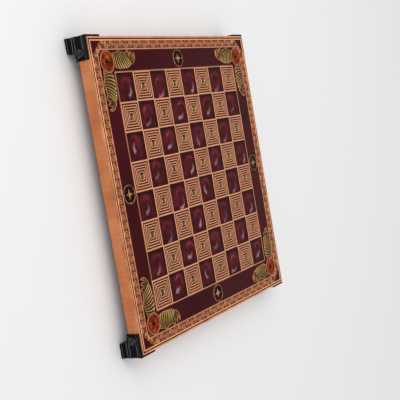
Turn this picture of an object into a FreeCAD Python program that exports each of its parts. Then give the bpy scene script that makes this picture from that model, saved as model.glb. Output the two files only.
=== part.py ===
# Enamel chessboard: a cast relief plate filled with enamel, on a wooden core with copper edge
# strips, standing on four cast corner feet. Millimetres, face up, +Z up. +Y is the far side,
# and the origin lies under the board's middle, on the surface that the feet stand on.

import FreeCAD, Part
import math
import os
import types
import Sketcher

V = FreeCAD.Vector
UP = V(0, 0, 1)
SQUARES = 8
HALF = SQUARES // 2
GROOVES = 4
CORNERS = ("right_back", "left_back", "left_front", "right_front")
SIDES = ("right", "back", "left", "front")

doc = FreeCAD.newDocument("enamel_chessboard")
sheet = doc.addObject("Spreadsheet::Sheet", "Sizes")

# Every driving size of the board, under the alias that the features use.
DRIVING_SIZES = (
    ("square", 42.0, "side of one square"),
    ("cell_wall", 1.2, "copper wall between a dark square and its neighbours"),
    ("field_line", 1.6, "copper line round the playing field"),
    ("channel", 29.4, "enamelled channel round that line"),
    ("inner_bead", 2.0, "bead between the channel and the scroll band"),
    ("scroll_band", 10.6, "band that carries the running scroll"),
    ("rim_inner", 2.2, "rim's inner bead"),
    ("rim_quirk", 0.6, "groove between the rim's beads"),
    ("rim_outer", 3.6, "rim's outer bead"),
    ("plate_base", 1.4, "solid metal under the relief"),
    ("relief", 1.6, "height of the playing field above the plate's base"),
    ("band_sink", 0.5, "scroll band's ground below the field's face"),
    ("rim_lift", 0.4, "top of the rim's beads above the field's face"),
    ("groove_depth", 1.1, "depth of the grooves in a light square"),
    ("groove_width", 2.1, "width of those grooves at the face"),
    ("groove_start", 2.9, "middle of the first groove from the square's edge"),
    ("groove_end", 2.4, "middle of the last groove from the centre cell"),
    ("centre_cell", 8.0, "side of the enamelled cell in a light square"),
    ("centre_depth", 1.1, "depth of that cell"),
    ("enamel_drop", 0.3, "enamel's surface below the walls round it"),
    ("channel_drop", 0.6, "channel's enamel below the field's face"),
    ("enamel_fit", 0.05, "gap between an enamel fill and its wall"),
    ("disc_offset", 14.8, "corner disc's centre outside the field's corner"),
    ("disc_fit", 0.2, "gap between a corner disc and the relief round it"),
    ("disc_ring", 3.6, "width of the corner disc's ring"),
    ("disc_bevel", 1.2, "bevel round that ring's outer edge"),
    ("disc_back", 0.6, "corner disc's back plate"),
    ("disc_lift", 1.4, "corner disc's ring above the field's face"),
    ("disc_drop", 1.3, "corner disc's enamel below its ring's top"),
    ("disc_star", 8.8, "reach of the corner disc's star"),
    ("medallion_fit", 1.2, "gap between a side medallion and the channel's walls"),
    ("medallion_ring", 1.2, "width of the side medallion's ring"),
    ("medallion_back", 0.4, "side medallion's back plate"),
    ("medallion_star", 7.6, "reach of the side medallion's star"),
    ("star_waist", 0.36, "a star's inner corners over its reach"),
    ("star_lift", 0.8, "middle of a star above the enamel round it"),
    ("scallop_leg", 21.0, "corner enamel's sides along the rim"),
    ("scallop_end", 2.5, "corner enamel's blunt ends"),
    ("scallop_bow", 1.7, "how far each scallop of the relief bows into that enamel"),
    ("leaf_length", 52.0, "corner leaf from disc to tip"),
    ("leaf_side", 0.6, "gap between a corner leaf and the channel's wall"),
    ("lobe_bow", 1.5, "how far a leaf's lobes and fingers bow out"),
    ("tip_bow", 3.5, "how far the stretch to a leaf's tip bows out"),
    ("leaf_lift", 0.3, "leaf's body above the field's face"),
    ("leaf_rib", 0.9, "width of a leaf's ribs"),
    ("rib_lift", 0.6, "leaf's ribs above its body"),
    ("leaf_fit", 0.3, "gap between a leaf and the disc that it grows from"),
    ("core_height", 16.0, "wooden core"),
    ("strip_sheet", 0.8, "edge strip's sheet metal"),
    ("strip_lip", 10.0, "edge strip's lip under the core"),
    ("plate_overhang", 0.2, "plate's edge outside the edge strips"),
    ("felt_height", 1.0, "felt under the core"),
    ("felt_fit", 0.5, "gap between the felt and what borders it"),
    ("foot_fit", 0.1, "gap between a foot's walls and the plate's edge"),
    ("foot_wall", 2.2, "foot's walls"),
    ("foot_reach", 33.0, "foot's length along each side"),
    ("foot_drop", 1.3, "foot's top edge below the field's face"),
    ("foot_shelf", 2.8, "foot's shelf under the core"),
    ("bead_height", 1.5, "height of one moulding on a foot"),
    ("bead_bow", 0.7, "how far the top moulding and the plinth stand out"),
    ("lesser_bow", 0.5, "how far the other mouldings stand out"),
    ("bead_gap", 0.6, "gap between two mouldings"),
    ("pedestal_side", 21.6, "foot's pedestal"),
    ("pedestal_height", 13.0, "pedestal under the shelf"),
    ("pedestal_round", 3.4, "rounding of the pedestal's inner lower edges"),
    ("volute_radius", 6.2, "scroll on a foot's walls"),
    ("volute_inset", 10.5, "scroll's centre from the wall's inner end"),
    ("volute_rise", 8.2, "scroll's centre above the shelf's underside"),
    ("volute_band", 1.3, "width of the scroll's band"),
    ("volute_gap", 1.1, "gap between the scroll's turns"),
    ("volute_lift", 0.9, "how far the scroll stands out"),
    ("pad_height", 1.2, "felt pad under a foot"),
    ("pad_inset", 1.6, "pad's edge inside the pedestal's"),
    ("screw_radius", 1.5, "foot screw's shank"),
    ("screw_head", 2.9, "foot screw's head, radius"),
    ("screw_head_height", 1.4, "foot screw's head, flush with the shelf's underside"),
    ("screw_length", 11.0, "foot screw"),
    ("screw_fit", 0.1, "gap round a foot screw"),
    ("screw_inset", 5.6, "screw's axis from the shelf's inner end"),
)

for row, (alias, size, meaning) in enumerate(DRIVING_SIZES, start=1):
    sheet.set(f"A{row}", meaning)
    sheet.set(f"B{row}", str(size))
    sheet.setAlias(f"B{row}", alias)
doc.recompute()


class Size:
    """A length in millimetres, with the expression on the sheet that gives it."""

    def __init__(self, number, text):
        self.number = float(number)
        self.text = text

    def __float__(self):
        return self.number

    def joined(self, other, sign, number):
        text = other.text if isinstance(other, Size) else str(other)
        return Size(number, f"({self.text} {sign} {text})")

    def __add__(self, other):
        return self.joined(other, "+", self.number + float(other))

    def __sub__(self, other):
        return self.joined(other, "-", self.number - float(other))

    def __mul__(self, factor):
        return self.joined(factor, "*", self.number * float(factor))

    def __truediv__(self, divisor):
        return self.joined(divisor, "/", self.number / float(divisor))

    def __neg__(self):
        return Size(-self.number, f"(-1 * {self.text})")


s = types.SimpleNamespace(
    **{alias: Size(sheet.get(alias), f"Sizes.{alias}") for alias, size, meaning in DRIVING_SIZES}
)
ZERO = s.square * 0

# Half sizes of the board's nested squares, from the playing field outwards.
field = s.square * HALF
line = field + s.field_line
channel = line + s.channel
bead = channel + s.inner_bead
band = bead + s.scroll_band
plate = band + s.rim_inner + s.rim_quirk + s.rim_outer
strip = plate - s.plate_overhang
core = strip - s.strip_sheet
lip = strip - s.strip_lip

# Heights above the surface that the board stands on.
pedestal_foot = s.pad_height
shelf_under = pedestal_foot + s.pedestal_height
core_under = shelf_under + s.foot_shelf
plate_under = core_under + s.core_height
floor = plate_under + s.plate_base
face = floor + s.relief
ground = face - s.band_sink
channel_top = face - s.channel_drop

# Corner discs and side medallions, held between the channel's walls.
disc = field + s.disc_offset
disc_radius = channel - disc - s.disc_fit
disc_top = face + s.disc_lift
medallion = line + s.channel / 2
medallion_radius = s.channel / 2 - s.medallion_fit

# A foot's walls, pedestal and screw.
wall_in = plate + s.foot_fit
wall_out = wall_in + s.foot_wall
foot_end = wall_out - s.foot_reach
foot_top = face - s.foot_drop
pedestal = wall_out - s.pedestal_side
screw = foot_end + s.screw_inset


def bind(thing, name, size):
    """Gives a property of a feature the size's expression."""
    thing.setExpression(name, size.text)


def new_body(label, several=False):
    body = doc.addObject("PartDesign::Body", label)
    body.Label = label
    body.AllowCompound = several
    return body


def datum(body, role):
    return next(item for item in body.Origin.OriginFeatures if item.Role == role)


def new_sketch(body, name, at, role="XY_Plane"):
    """A sketch on one of the body's origin planes, moved along the plane's normal."""
    sketch = body.newObject("Sketcher::SketchObject", name)
    sketch.AttachmentSupport = [(datum(body, role), "")]
    sketch.MapMode = "FlatFace"
    bind(sketch, "AttachmentOffset.Base.z", at)
    return sketch


def dimension(sketch, kind, size, *where):
    number = sketch.addConstraint(Sketcher.Constraint(kind, *where, float(size)))
    bind(sketch, f"Constraints[{number}]", size)


def rectangle(sketch, west, south, east, north):
    """Four lines whose places follow the sheet."""
    first = sketch.GeometryCount
    corners = [
        V(float(x), float(y), 0)
        for x, y in ((west, south), (east, south), (east, north), (west, north))
    ]
    for start, end in zip(corners, corners[1:] + corners[:1]):
        sketch.addGeometry(Part.LineSegment(start, end), False)
    for side in range(4):
        following = first + (side + 1) % 4
        sketch.addConstraint(Sketcher.Constraint("Coincident", first + side, 2, following, 1))
        level = "Vertical" if side % 2 else "Horizontal"
        sketch.addConstraint(Sketcher.Constraint(level, first + side))
    dimension(sketch, "DistanceX", west, -1, 1, first, 1)
    dimension(sketch, "DistanceY", south, -1, 1, first, 1)
    dimension(sketch, "DistanceX", east, -1, 1, first + 2, 1)
    dimension(sketch, "DistanceY", north, -1, 1, first + 2, 1)


def centred_square(sketch, half):
    rectangle(sketch, -half, -half, half, half)


def circle(sketch, x, y, radius):
    shape = Part.Circle(V(float(x), float(y), 0), UP, float(radius))
    number = sketch.addGeometry(shape, False)
    dimension(sketch, "DistanceX", x, -1, 1, number, 3)
    dimension(sketch, "DistanceY", y, -1, 1, number, 3)
    dimension(sketch, "Radius", radius, number)


def outline(points):
    """Lines and arcs through the points, in order and back to the first. A point's third
    number is how far the stretch that leaves it bows out, to the right of its way."""
    stretches = []
    for point, following in zip(points, points[1:] + points[:1]):
        start = V(float(point[0]), float(point[1]), 0)
        end = V(float(following[0]), float(following[1]), 0)
        if len(point) > 2:
            way = (end - start).normalize()
            middle = (start + end) / 2 + V(way.y, -way.x, 0) * float(point[2])
            stretches.append(Part.Arc(start, middle, end))
        else:
            stretches.append(Part.LineSegment(start, end))
    return stretches


def trace(sketch, points):
    sketch.addGeometry(outline(points), False)


def flat_face(points):
    return Part.Face(Part.Wire([stretch.toShape() for stretch in outline(points)]))


def prism(points, low, high):
    """A solid on an outline, from one height to another."""
    solid = flat_face(points).extrude(V(0, 0, float(high) - float(low)))
    solid.translate(V(0, 0, float(low)))
    return solid


def square_prism(half, low, high):
    half = float(half)
    return prism([(-half, -half), (half, -half), (half, half), (-half, half)], low, high)


def post(x, y, radius, low, high):
    height = float(high) - float(low)
    return Part.makeCylinder(float(radius), height, V(float(x), float(y), float(low)))


def pad(body, sketch, length, backwards=False):
    feature = body.newObject("PartDesign::Pad", "Pad")
    feature.Profile = sketch
    feature.Reversed = backwards
    bind(feature, "Length", length)
    return feature


def pocket(body, sketch, depth, backwards=False):
    feature = body.newObject("PartDesign::Pocket", "Pocket")
    feature.Profile = sketch
    feature.Reversed = backwards
    bind(feature, "Length", depth)
    return feature


def pocket_through(body, sketch):
    feature = body.newObject("PartDesign::Pocket", "PocketThrough")
    feature.Profile = sketch
    feature.Type = "ThroughAll"
    feature.Midplane = True
    return feature


def pipe(body, kind, section, path, sides):
    """Adds or cuts a moulding with mitred corners along the path's sides."""
    feature = body.newObject(f"PartDesign::{kind}Pipe", f"{kind}Moulding")
    feature.Profile = section
    feature.Spine = (path, [f"Edge{side}" for side in range(1, sides + 1)])
    feature.Transition = "Right corner"
    return feature


def quarters(body, originals):
    """Copies the features to all four quarters of the board."""
    feature = body.newObject("PartDesign::PolarPattern", "Quarters")
    feature.Originals = originals
    feature.Axis = (datum(body, "Z_Axis"), [""])
    feature.Angle = 360.0
    feature.Occurrences = 4
    body.Tip = feature


def row_of(body, sketch, axis, length, occurrences):
    feature = body.newObject("PartDesign::LinearPattern", "Row")
    feature.Direction = (sketch, [axis])
    feature.Occurrences = occurrences
    bind(feature, "Length", length)
    return feature


def chequer(body, originals, leaning):
    """Repeats the features of one square over all squares of its colour. The first lies in
    the front row, and the next row's lies to its right where leaning is 1, left where -1."""
    lines = new_sketch(body, "Lines", ZERO)
    lines.addGeometry(Part.LineSegment(V(0, 0, 0), V(leaning, 1, 0)), True)
    feature = body.newObject("PartDesign::MultiTransform", "Chequer")
    feature.Originals = originals
    feature.Transformations = [
        row_of(body, lines, "Axis0", s.square * math.sqrt(2), 2),
        row_of(body, lines, "H_Axis", s.square * (SQUARES - 2), HALF),
        row_of(body, lines, "V_Axis", s.square * (SQUARES - 2), HALF),
    ]
    body.Tip = feature


def free_form(label, shape):
    """A sub-part whose shape no body or primitive suits."""
    feature = doc.addObject("Part::Feature", label)
    feature.Label = label
    feature.Shape = shape


def at_quarter(number):
    return FreeCAD.Placement(V(0, 0, 0), FreeCAD.Rotation(UP, 90.0 * number))


def all_quarters(solid):
    """The solid in all four quarters of the board, as separate solids."""
    return Part.makeCompound([solid.transformed(at_quarter(n).toMatrix()) for n in range(4)])


# Relief plate, the cast metal top: field, border and beads are raised, enamel cells are sunk.
def raise_border(body):
    border = new_sketch(body, "Border", floor)
    centred_square(border, plate)
    centred_square(border, channel)
    pad(body, border, ground - floor)

    nook = new_sketch(body, "Nook", floor)
    round_edge = disc_radius + s.disc_fit / 2
    bow = float(round_edge) * (1 - math.sqrt(0.5))
    trace(nook, [
        (disc + round_edge, disc),
        (channel, disc),
        (channel, channel),
        (disc, channel),
        (disc, disc + round_edge, -bow),
    ])
    quarters(body, [pad(body, nook, ground - floor)])

    path = new_sketch(body, "BorderPath", ground)
    centred_square(path, channel)
    bead_section = new_sketch(body, "BeadSection", ZERO, "XZ_Plane")
    trace(bead_section, [
        (channel, floor),
        (bead, floor),
        (bead, ground, s.band_sink),
        (channel, ground),
    ])
    pipe(body, "Additive", bead_section, path, 4)

    rim_section = new_sketch(body, "RimSection", ZERO, "XZ_Plane")
    rise = face + s.rim_lift - ground
    trace(rim_section, [
        (band, floor),
        (plate, floor),
        (plate, ground, rise),
        (plate - s.rim_outer, ground),
        (band + s.rim_inner, ground, rise),
        (band, ground),
    ])
    pipe(body, "Additive", rim_section, path, 4)


def scallops(corner, leg, end):
    """Outline of an outer corner's enamel: two straight sides along the rim with blunt ends,
    and three scallops of the relief between them."""
    step = (leg - end) / 3
    points = [(corner - leg + step * n, corner - end - step * n, -s.scallop_bow) for n in range(3)]
    points.append((corner - end, corner - leg))
    return points + [(corner, corner - leg), (corner, corner), (corner - leg, corner)]


def sink_corners(body):
    sketch = new_sketch(body, "CornerCell", face)
    trace(sketch, scallops(band, s.scallop_leg, s.scallop_end))
    quarters(body, [pocket(body, sketch, s.relief)])


def sink_dark_squares(body):
    sketch = new_sketch(body, "DarkCell", face)
    edge = s.cell_wall / 2
    rectangle(
        sketch,
        s.square - field + edge,
        -field + edge,
        s.square * 2 - field - edge,
        s.square - field - edge,
    )
    chequer(body, [pocket(body, sketch, s.relief)], -1)


def cut_light_squares(body):
    """Mitred V grooves, one inside the other, round a square cell."""
    middle = s.square / 2 - field
    outermost = s.square / 2 - s.groove_start
    innermost = s.centre_cell / 2 + s.groove_end
    pitch = (outermost - innermost) / (GROOVES - 1)
    # The cutter stands a tenth of its depth above the face.
    over = 0.1
    features = []
    for number in range(GROOVES):
        half = outermost - pitch * number
        path = new_sketch(body, "GroovePath", face)
        rectangle(path, middle - half, middle - half, middle + half, middle + half)
        section = new_sketch(body, "GrooveSection", -middle, "XZ_Plane")
        spread = s.groove_width / 2 * (1 + over)
        trace(section, [
            (middle + half - spread, face + s.groove_depth * over),
            (middle + half, face - s.groove_depth),
            (middle + half + spread, face + s.groove_depth * over),
        ])
        features.append(pipe(body, "Subtractive", section, path, 4))
    cell = new_sketch(body, "CentreCell", face)
    half = s.centre_cell / 2
    rectangle(cell, middle - half, middle - half, middle + half, middle + half)
    features.append(pocket(body, cell, s.centre_depth))
    chequer(body, features, 1)


def make_relief_plate():
    body = new_body("relief_plate")
    base = new_sketch(body, "Base", plate_under)
    centred_square(base, plate)
    pad(body, base, s.plate_base)
    middle = new_sketch(body, "Field", floor)
    centred_square(middle, line)
    pad(body, middle, s.relief)
    raise_border(body)
    sink_corners(body)
    sink_dark_squares(body)
    cut_light_squares(body)


# Enamel of the playing field: four dark squares in each rank, and the light squares' cells.
def make_rank(rank):
    body = new_body(f"enamel_rank_{rank + 1}", several=True)
    first = 1 - rank % 2
    inset = s.cell_wall / 2 + s.enamel_fit
    sketch = new_sketch(body, "Square", floor)
    rectangle(
        sketch,
        s.square * first - field + inset,
        s.square * rank - field + inset,
        s.square * (first + 1) - field - inset,
        s.square * (rank + 1) - field - inset,
    )
    fill = pad(body, sketch, s.relief - s.enamel_drop)
    squares = row_of(body, sketch, "H_Axis", s.square * (SQUARES - 2), HALF)
    squares.Originals = [fill]
    body.Tip = squares


def make_centre_enamel():
    body = new_body("centre_enamel", several=True)
    middle = s.square / 2 - field
    half = s.centre_cell / 2 - s.enamel_fit
    sketch = new_sketch(body, "Cell", face - s.centre_depth)
    rectangle(sketch, middle - half, middle - half, middle + half, middle + half)
    chequer(body, [pad(body, sketch, s.centre_depth - s.enamel_drop)], 1)


# Corner leaf, like half an acanthus leaf. Its points are shares of its length, away from the
# disc, and of half the channel's width, from the middle of the channel towards the rim.
LEAF_STEM = ((-0.09, 0.62), (-0.09, -0.46))
LEAF_LOBES = (
    (0.02, -0.52),
    (0.15, -0.72),
    (0.33, -0.73),
    (0.45, -0.68),
    (0.61, -0.67),
    (0.74, -0.37),
    (0.87, -0.28),
)
LEAF_TIP = (0.95, 0.82)
LEAF_THROATS = ((0.785, 0.12), (0.68, 0.39))
LEAF_FINGERS = ((0.77, 0.92), (0.65, 0.99))
LEAF_BACK = ((0.51, 0.70), (0.385, 0.81), (0.255, 0.96), (0.155, 0.79))
LEAF_RIB_TOPS = (
    (0.05, 0.66),
    (0.155, 0.79),
    (0.255, 0.94),
    (0.385, 0.80),
    (0.51, 0.69),
    (0.66, 0.42),
)


def leaf_point(share):
    along, across = share
    x = float(disc) - float(disc_radius) - float(s.leaf_length) * along
    y = float(medallion) + (float(s.channel) / 2 - float(s.leaf_side)) * across
    return x, y


def leaf_outline():
    """Lobed inner edge, the tip and two fingers hooked towards the rim, and a humped back."""
    lobe_bow = -float(s.lobe_bow)
    back, front = LEAF_STEM
    edge = [leaf_point(front)]
    edge += [leaf_point(lobe) + (lobe_bow,) for lobe in LEAF_LOBES[:-1]]
    edge += [leaf_point(LEAF_LOBES[-1]) + (-float(s.tip_bow),), leaf_point(LEAF_TIP)]
    for throat, finger in zip(LEAF_THROATS, LEAF_FINGERS):
        edge += [leaf_point(throat) + (lobe_bow,), leaf_point(finger)]
    edge += [leaf_point(hump) for hump in LEAF_BACK]
    edge.append(leaf_point(back))
    return edge


def leaf_rib_outline(start, end):
    start = V(*leaf_point(start), 0)
    end = V(*leaf_point(end), 0)
    way = (end - start).normalize()
    side = V(way.y, -way.x, 0) * (float(s.leaf_rib) / 2)
    return [tuple(point)[:2] for point in (start + side, end + side, end - side, start - side)]


def leaf_solid(low, body_top, rib_top):
    """One leaf beside the right back disc, its stem end hollowed to the disc's edge."""
    body = prism(leaf_outline(), low, body_top)
    limit = prism(leaf_outline(), low, rib_top)
    ribs = [
        prism(leaf_rib_outline(start, end), body_top, rib_top).common(limit)
        for start, end in zip(LEAF_RIB_TOPS, LEAF_LOBES[1:])
    ]
    reach = disc_radius + s.leaf_fit
    return body.fuse(ribs).cut(post(disc, disc, reach, low, rib_top)).removeSplitter()


def across_corner(solid):
    """The mirror image on the other side of the right back corner's diagonal."""
    return solid.mirror(V(0, 0, 0), V(1, -1, 0))


def make_leaves():
    leaf = leaf_solid(channel_top, face + s.leaf_lift, face + s.leaf_lift + s.rib_lift)
    free_form("leaves_left_hand", all_quarters(leaf))
    free_form("leaves_right_hand", all_quarters(across_corner(leaf)))


# Round ornaments: a back plate with a ring, and a ridged star that stands in a pool of enamel.
def star_outline(x, y, reach, points):
    corners = []
    for number in range(2 * points):
        radius = float(reach) * (1 if number % 2 == 0 else float(s.star_waist))
        angle = math.pi * number / points
        corners.append((float(x) + radius * math.cos(angle), float(y) + radius * math.sin(angle)))
    return corners


def ridged_star(x, y, reach, points, low, top):
    """A star-shaped prism whose top rises in ridges to a peak."""
    corners = [V(px, py, float(top)) for px, py in star_outline(x, y, reach, points)]
    peak = V(float(x), float(y), float(top) + float(s.star_lift))
    sides = [
        Part.Face(Part.makePolygon([start, end, peak, start]))
        for start, end in zip(corners, corners[1:] + corners[:1])
    ]
    sides.append(Part.Face(Part.makePolygon(corners + corners[:1])))
    roof = Part.makeSolid(Part.makeShell(sides))
    return prism(star_outline(x, y, reach, points), low, top).fuse(roof)


def roundel(x, y, radius, crown, back, enamel_top, reach, points):
    """The metal and the enamel of one round ornament. The crown is the ring's top, from its
    outer edge inwards, as distances from that edge and heights."""
    ring = crown[-1][0]
    section = flat_face(
        [(ZERO, floor), (radius, floor)]
        + [(radius - inwards, height) for inwards, height in crown]
        + [(radius - ring, floor + back), (ZERO, floor + back)]
    )
    section.rotate(V(0, 0, 0), V(1, 0, 0), 90)
    section.translate(V(float(x), float(y), 0))
    metal = section.revolve(V(float(x), float(y), 0), UP, 360)
    star = ridged_star(x, y, reach, points, floor + back, enamel_top)
    pool = post(x, y, radius - ring - s.enamel_fit, floor + back, enamel_top)
    hole = prism(star_outline(x, y, reach, points), floor + back, enamel_top)
    return metal.fuse(star), pool.cut(hole)


def make_roundels():
    crown = [(ZERO, disc_top - s.disc_bevel), (s.disc_bevel, disc_top), (s.disc_ring, disc_top)]
    metal, enamel = roundel(
        disc, disc, disc_radius, crown, s.disc_back, disc_top - s.disc_drop, s.disc_star, 8
    )
    free_form("corner_discs", all_quarters(metal))
    free_form("disc_enamel", all_quarters(enamel))
    crown = [(ZERO, face), (s.medallion_ring, face)]
    metal, enamel = roundel(
        medallion, ZERO, medallion_radius, crown, s.medallion_back, channel_top,
        s.medallion_star, 4,
    )
    free_form("side_medallions", all_quarters(metal))
    free_form("medallion_enamel", all_quarters(enamel))


# Enamel round the field: the channel's, poured round the field, discs and medallions, with the
# leaves standing on it, and the four scalloped outer corners'.
def make_border_enamel():
    fill = square_prism(channel - s.enamel_fit, floor, channel_top)
    reach = disc_radius + s.disc_fit
    nook = prism(
        [(disc, disc), (channel, disc), (channel, channel), (disc, channel)], floor, channel_top
    )
    standing = [
        nook,
        post(disc, disc, reach, floor, channel_top),
        post(medallion, ZERO, medallion_radius + s.enamel_fit, floor, channel_top),
    ]
    islands = [square_prism(line + s.enamel_fit, floor, channel_top)]
    islands += [all_quarters(solid) for solid in standing]
    free_form("border_enamel", fill.cut(islands))


def make_corner_enamel():
    # The legs and ends are shorter by what keeps the same gap along every side.
    leg = s.scallop_leg - s.enamel_fit * 2
    end = s.scallop_end - s.enamel_fit * math.sqrt(2)
    corner = prism(scallops(band - s.enamel_fit, leg, end), floor, ground - s.enamel_drop)
    free_form("corner_enamel", all_quarters(corner))


# Wooden core, stepped under its edge for the strips' lips and drilled for the foot screws.
def make_core():
    body = new_body("core_board")
    upper = new_sketch(body, "Upper", core_under + s.strip_sheet)
    centred_square(upper, core)
    pad(body, upper, s.core_height - s.strip_sheet)
    lower = new_sketch(body, "Lower", core_under)
    centred_square(lower, lip)
    pad(body, lower, s.strip_sheet)
    hole = new_sketch(body, "PilotHole", core_under)
    circle(hole, screw, screw, s.screw_radius + s.screw_fit)
    drilled = pocket(body, hole, s.screw_length - s.foot_shelf + s.screw_fit, backwards=True)
    quarters(body, [drilled])


# Edge strip: sheet metal folded under the core, where the feet clamp its lip, and mitred at
# both ends.
def make_edge_strip(number):
    body = new_body(f"edge_strip_{SIDES[number]}")
    section = new_sketch(body, "Section", ZERO, "XZ_Plane")
    lip_top = core_under + s.strip_sheet
    trace(section, [
        (lip, core_under),
        (strip, core_under),
        (strip, plate_under),
        (core, plate_under),
        (core, lip_top),
        (lip, lip_top),
    ])
    folded = pad(body, section, strip * 2)
    folded.Midplane = True
    mitres = new_sketch(body, "Mitres", ZERO)
    inside = float(lip) - float(s.strip_lip)
    outside = float(strip) + float(s.strip_lip)
    for end in (1, -1):
        trace(mitres, [(inside, end * inside), (outside, end * outside), (inside, end * outside)])
    pocket_through(body, mitres)
    body.Placement = at_quarter(number)


# Felt under the core, notched for the feet.
def make_felt():
    body = new_body("base_felt")
    half = lip - s.felt_fit
    notch = foot_end - s.felt_fit
    for name, across, along in (("Across", half, notch), ("Along", notch, half)):
        sketch = new_sketch(body, name, core_under - s.felt_height)
        rectangle(sketch, -across, -along, across, along)
        pad(body, sketch, s.felt_height)


# Cast corner foot: moulded walls round the corner, a shelf under it, a pedestal and volutes.
def corner_path(body, name, near, far, at):
    """The L that a moulding follows round the corner."""
    path = new_sketch(body, name, at)
    turn = V(float(far), float(far), 0)
    path.addGeometry(Part.LineSegment(V(float(far), float(near), 0), turn), False)
    path.addGeometry(Part.LineSegment(turn, V(float(near), float(far), 0)), False)
    return path


def raise_walls(body):
    """Two beads under the top edge, a smooth field and one bead near the bottom."""
    section = new_sketch(body, "WallSection", -foot_end, "XZ_Plane")
    second_top = foot_top - s.bead_height - s.bead_gap
    low = shelf_under + s.foot_shelf
    trace(section, [
        (wall_in, shelf_under),
        (wall_out, shelf_under),
        (wall_out, low, s.lesser_bow),
        (wall_out, low + s.bead_height),
        (wall_out, second_top - s.bead_height, s.lesser_bow),
        (wall_out, second_top),
        (wall_out, foot_top - s.bead_height, s.bead_bow),
        (wall_out, foot_top),
        (wall_in, foot_top),
    ])
    path = corner_path(body, "WallPath", foot_end, wall_in, shelf_under)
    pipe(body, "Additive", section, path, 2)


def add_pedestal(body):
    block = new_sketch(body, "Pedestal", pedestal_foot)
    rectangle(block, pedestal, pedestal, wall_out, wall_out)
    pad(body, block, s.pedestal_height)

    section = new_sketch(body, "PlinthSection", -pedestal, "XZ_Plane")
    root = wall_out - s.foot_wall / 2
    plinth_top = pedestal_foot + s.bead_height
    first = plinth_top + s.bead_gap * 2
    second = first + s.bead_height + s.bead_gap * 3
    trace(section, [
        (root, pedestal_foot),
        (wall_out + s.bead_bow, pedestal_foot),
        (wall_out + s.bead_bow, plinth_top),
        (wall_out, plinth_top + s.bead_gap),
        (wall_out, first, s.lesser_bow),
        (wall_out, first + s.bead_height),
        (wall_out, second, s.lesser_bow),
        (wall_out, second + s.bead_height),
        (root, second + s.bead_height),
    ])
    path = corner_path(body, "PlinthPath", pedestal, root, pedestal_foot)
    pipe(body, "Additive", section, path, 2)

    around = pedestal + s.pedestal_round
    above = pedestal_foot + s.pedestal_round
    bow = float(s.pedestal_round) * (1 - math.sqrt(0.5))
    for role in ("XZ_Plane", "YZ_Plane"):
        rounding = new_sketch(body, "Rounding", ZERO, role)
        trace(rounding, [
            (pedestal - s.pedestal_round, ZERO),
            (around, ZERO),
            (around, pedestal_foot, -bow),
            (pedestal, above),
            (pedestal - s.pedestal_round, above),
        ])
        pocket_through(body, rounding)


def add_volutes(body):
    """A scroll that winds in to its eye, on both outer walls."""
    x = foot_end + s.volute_inset
    z = shelf_under + s.volute_rise
    radius = s.volute_radius
    pitch = s.volute_band + s.volute_gap
    width = s.volute_band
    band_points = [
        (x - radius, z, -radius),
        (x + radius, z, -(radius - pitch / 2)),
        (x - radius + pitch, z),
        (x - radius + pitch + width, z, radius - pitch / 2 - width),
        (x + radius - width, z, radius - width),
        (x - radius + width, z),
    ]
    for role, at, backwards in (
        ("XZ_Plane", -wall_out, True),
        ("YZ_Plane", wall_out, False),
    ):
        sketch = new_sketch(body, "Volute", at, role)
        trace(sketch, band_points)
        pad(body, sketch, s.volute_lift, backwards)


def drill_foot(body):
    """A counterbored hole up through the shelf, beside the pedestal."""
    for radius, depth in ((s.screw_radius, s.foot_shelf), (s.screw_head, s.screw_head_height)):
        hole = new_sketch(body, "ScrewHole", shelf_under)
        circle(hole, screw, screw, radius + s.screw_fit)
        pocket(body, hole, depth, backwards=True)


def make_foot(number):
    body = new_body(f"foot_{CORNERS[number]}")
    shelf = new_sketch(body, "Shelf", shelf_under)
    rectangle(shelf, foot_end, foot_end, wall_out, wall_out)
    pad(body, shelf, s.foot_shelf)
    raise_walls(body)
    add_pedestal(body)
    add_volutes(body)
    drill_foot(body)
    body.Placement = at_quarter(number)


def make_foot_pad(number):
    body = new_body(f"foot_pad_{CORNERS[number]}")
    sketch = new_sketch(body, "Pad", ZERO)
    low = pedestal + s.pedestal_round + s.pad_inset
    high = wall_out - s.pad_inset
    rectangle(sketch, low, low, high, high)
    pad(body, sketch, s.pad_height)
    body.Placement = at_quarter(number)


# Wood screws with flat cylindrical heads, one up through each foot.
def make_foot_screws():
    body = new_body("foot_screws", several=True)
    turned = []
    for radius, length in ((s.screw_head, s.screw_head_height), (s.screw_radius, s.screw_length)):
        sketch = new_sketch(body, "Screw", shelf_under)
        circle(sketch, screw, screw, radius)
        turned.append(pad(body, sketch, length))
    quarters(body, turned)


make_relief_plate()
for rank in range(SQUARES):
    make_rank(rank)
make_centre_enamel()
make_border_enamel()
make_corner_enamel()
make_roundels()
make_leaves()
make_core()
make_felt()
make_foot_screws()
for number in range(4):
    make_edge_strip(number)
    make_foot(number)
    make_foot_pad(number)
doc.recompute()

# Nothing is written unless every feature and every sub-part is sound.
for item in doc.Objects:
    if "Invalid" in item.State or "Error" in item.State:
        raise RuntimeError(f"{item.Label} failed: {item.State}")
nodes = [item for item in doc.Objects if item.TypeId in ("PartDesign::Body", "Part::Feature")]
for node in nodes:
    if node.Shape.isNull() or not node.Shape.isValid() or not node.Shape.Solids:
        raise RuntimeError(f"{node.Label} has no sound shape")
os.makedirs("parts", exist_ok=True)
for node in nodes:
    node.Shape.exportStep(f"parts/{node.Label}.step")
print(f"{len(nodes)} sub-parts, {sum(len(node.Shape.Solids) for node in nodes)} solids")
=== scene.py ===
import math

import bmesh
import bpy
from mathutils import Matrix, Vector


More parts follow.
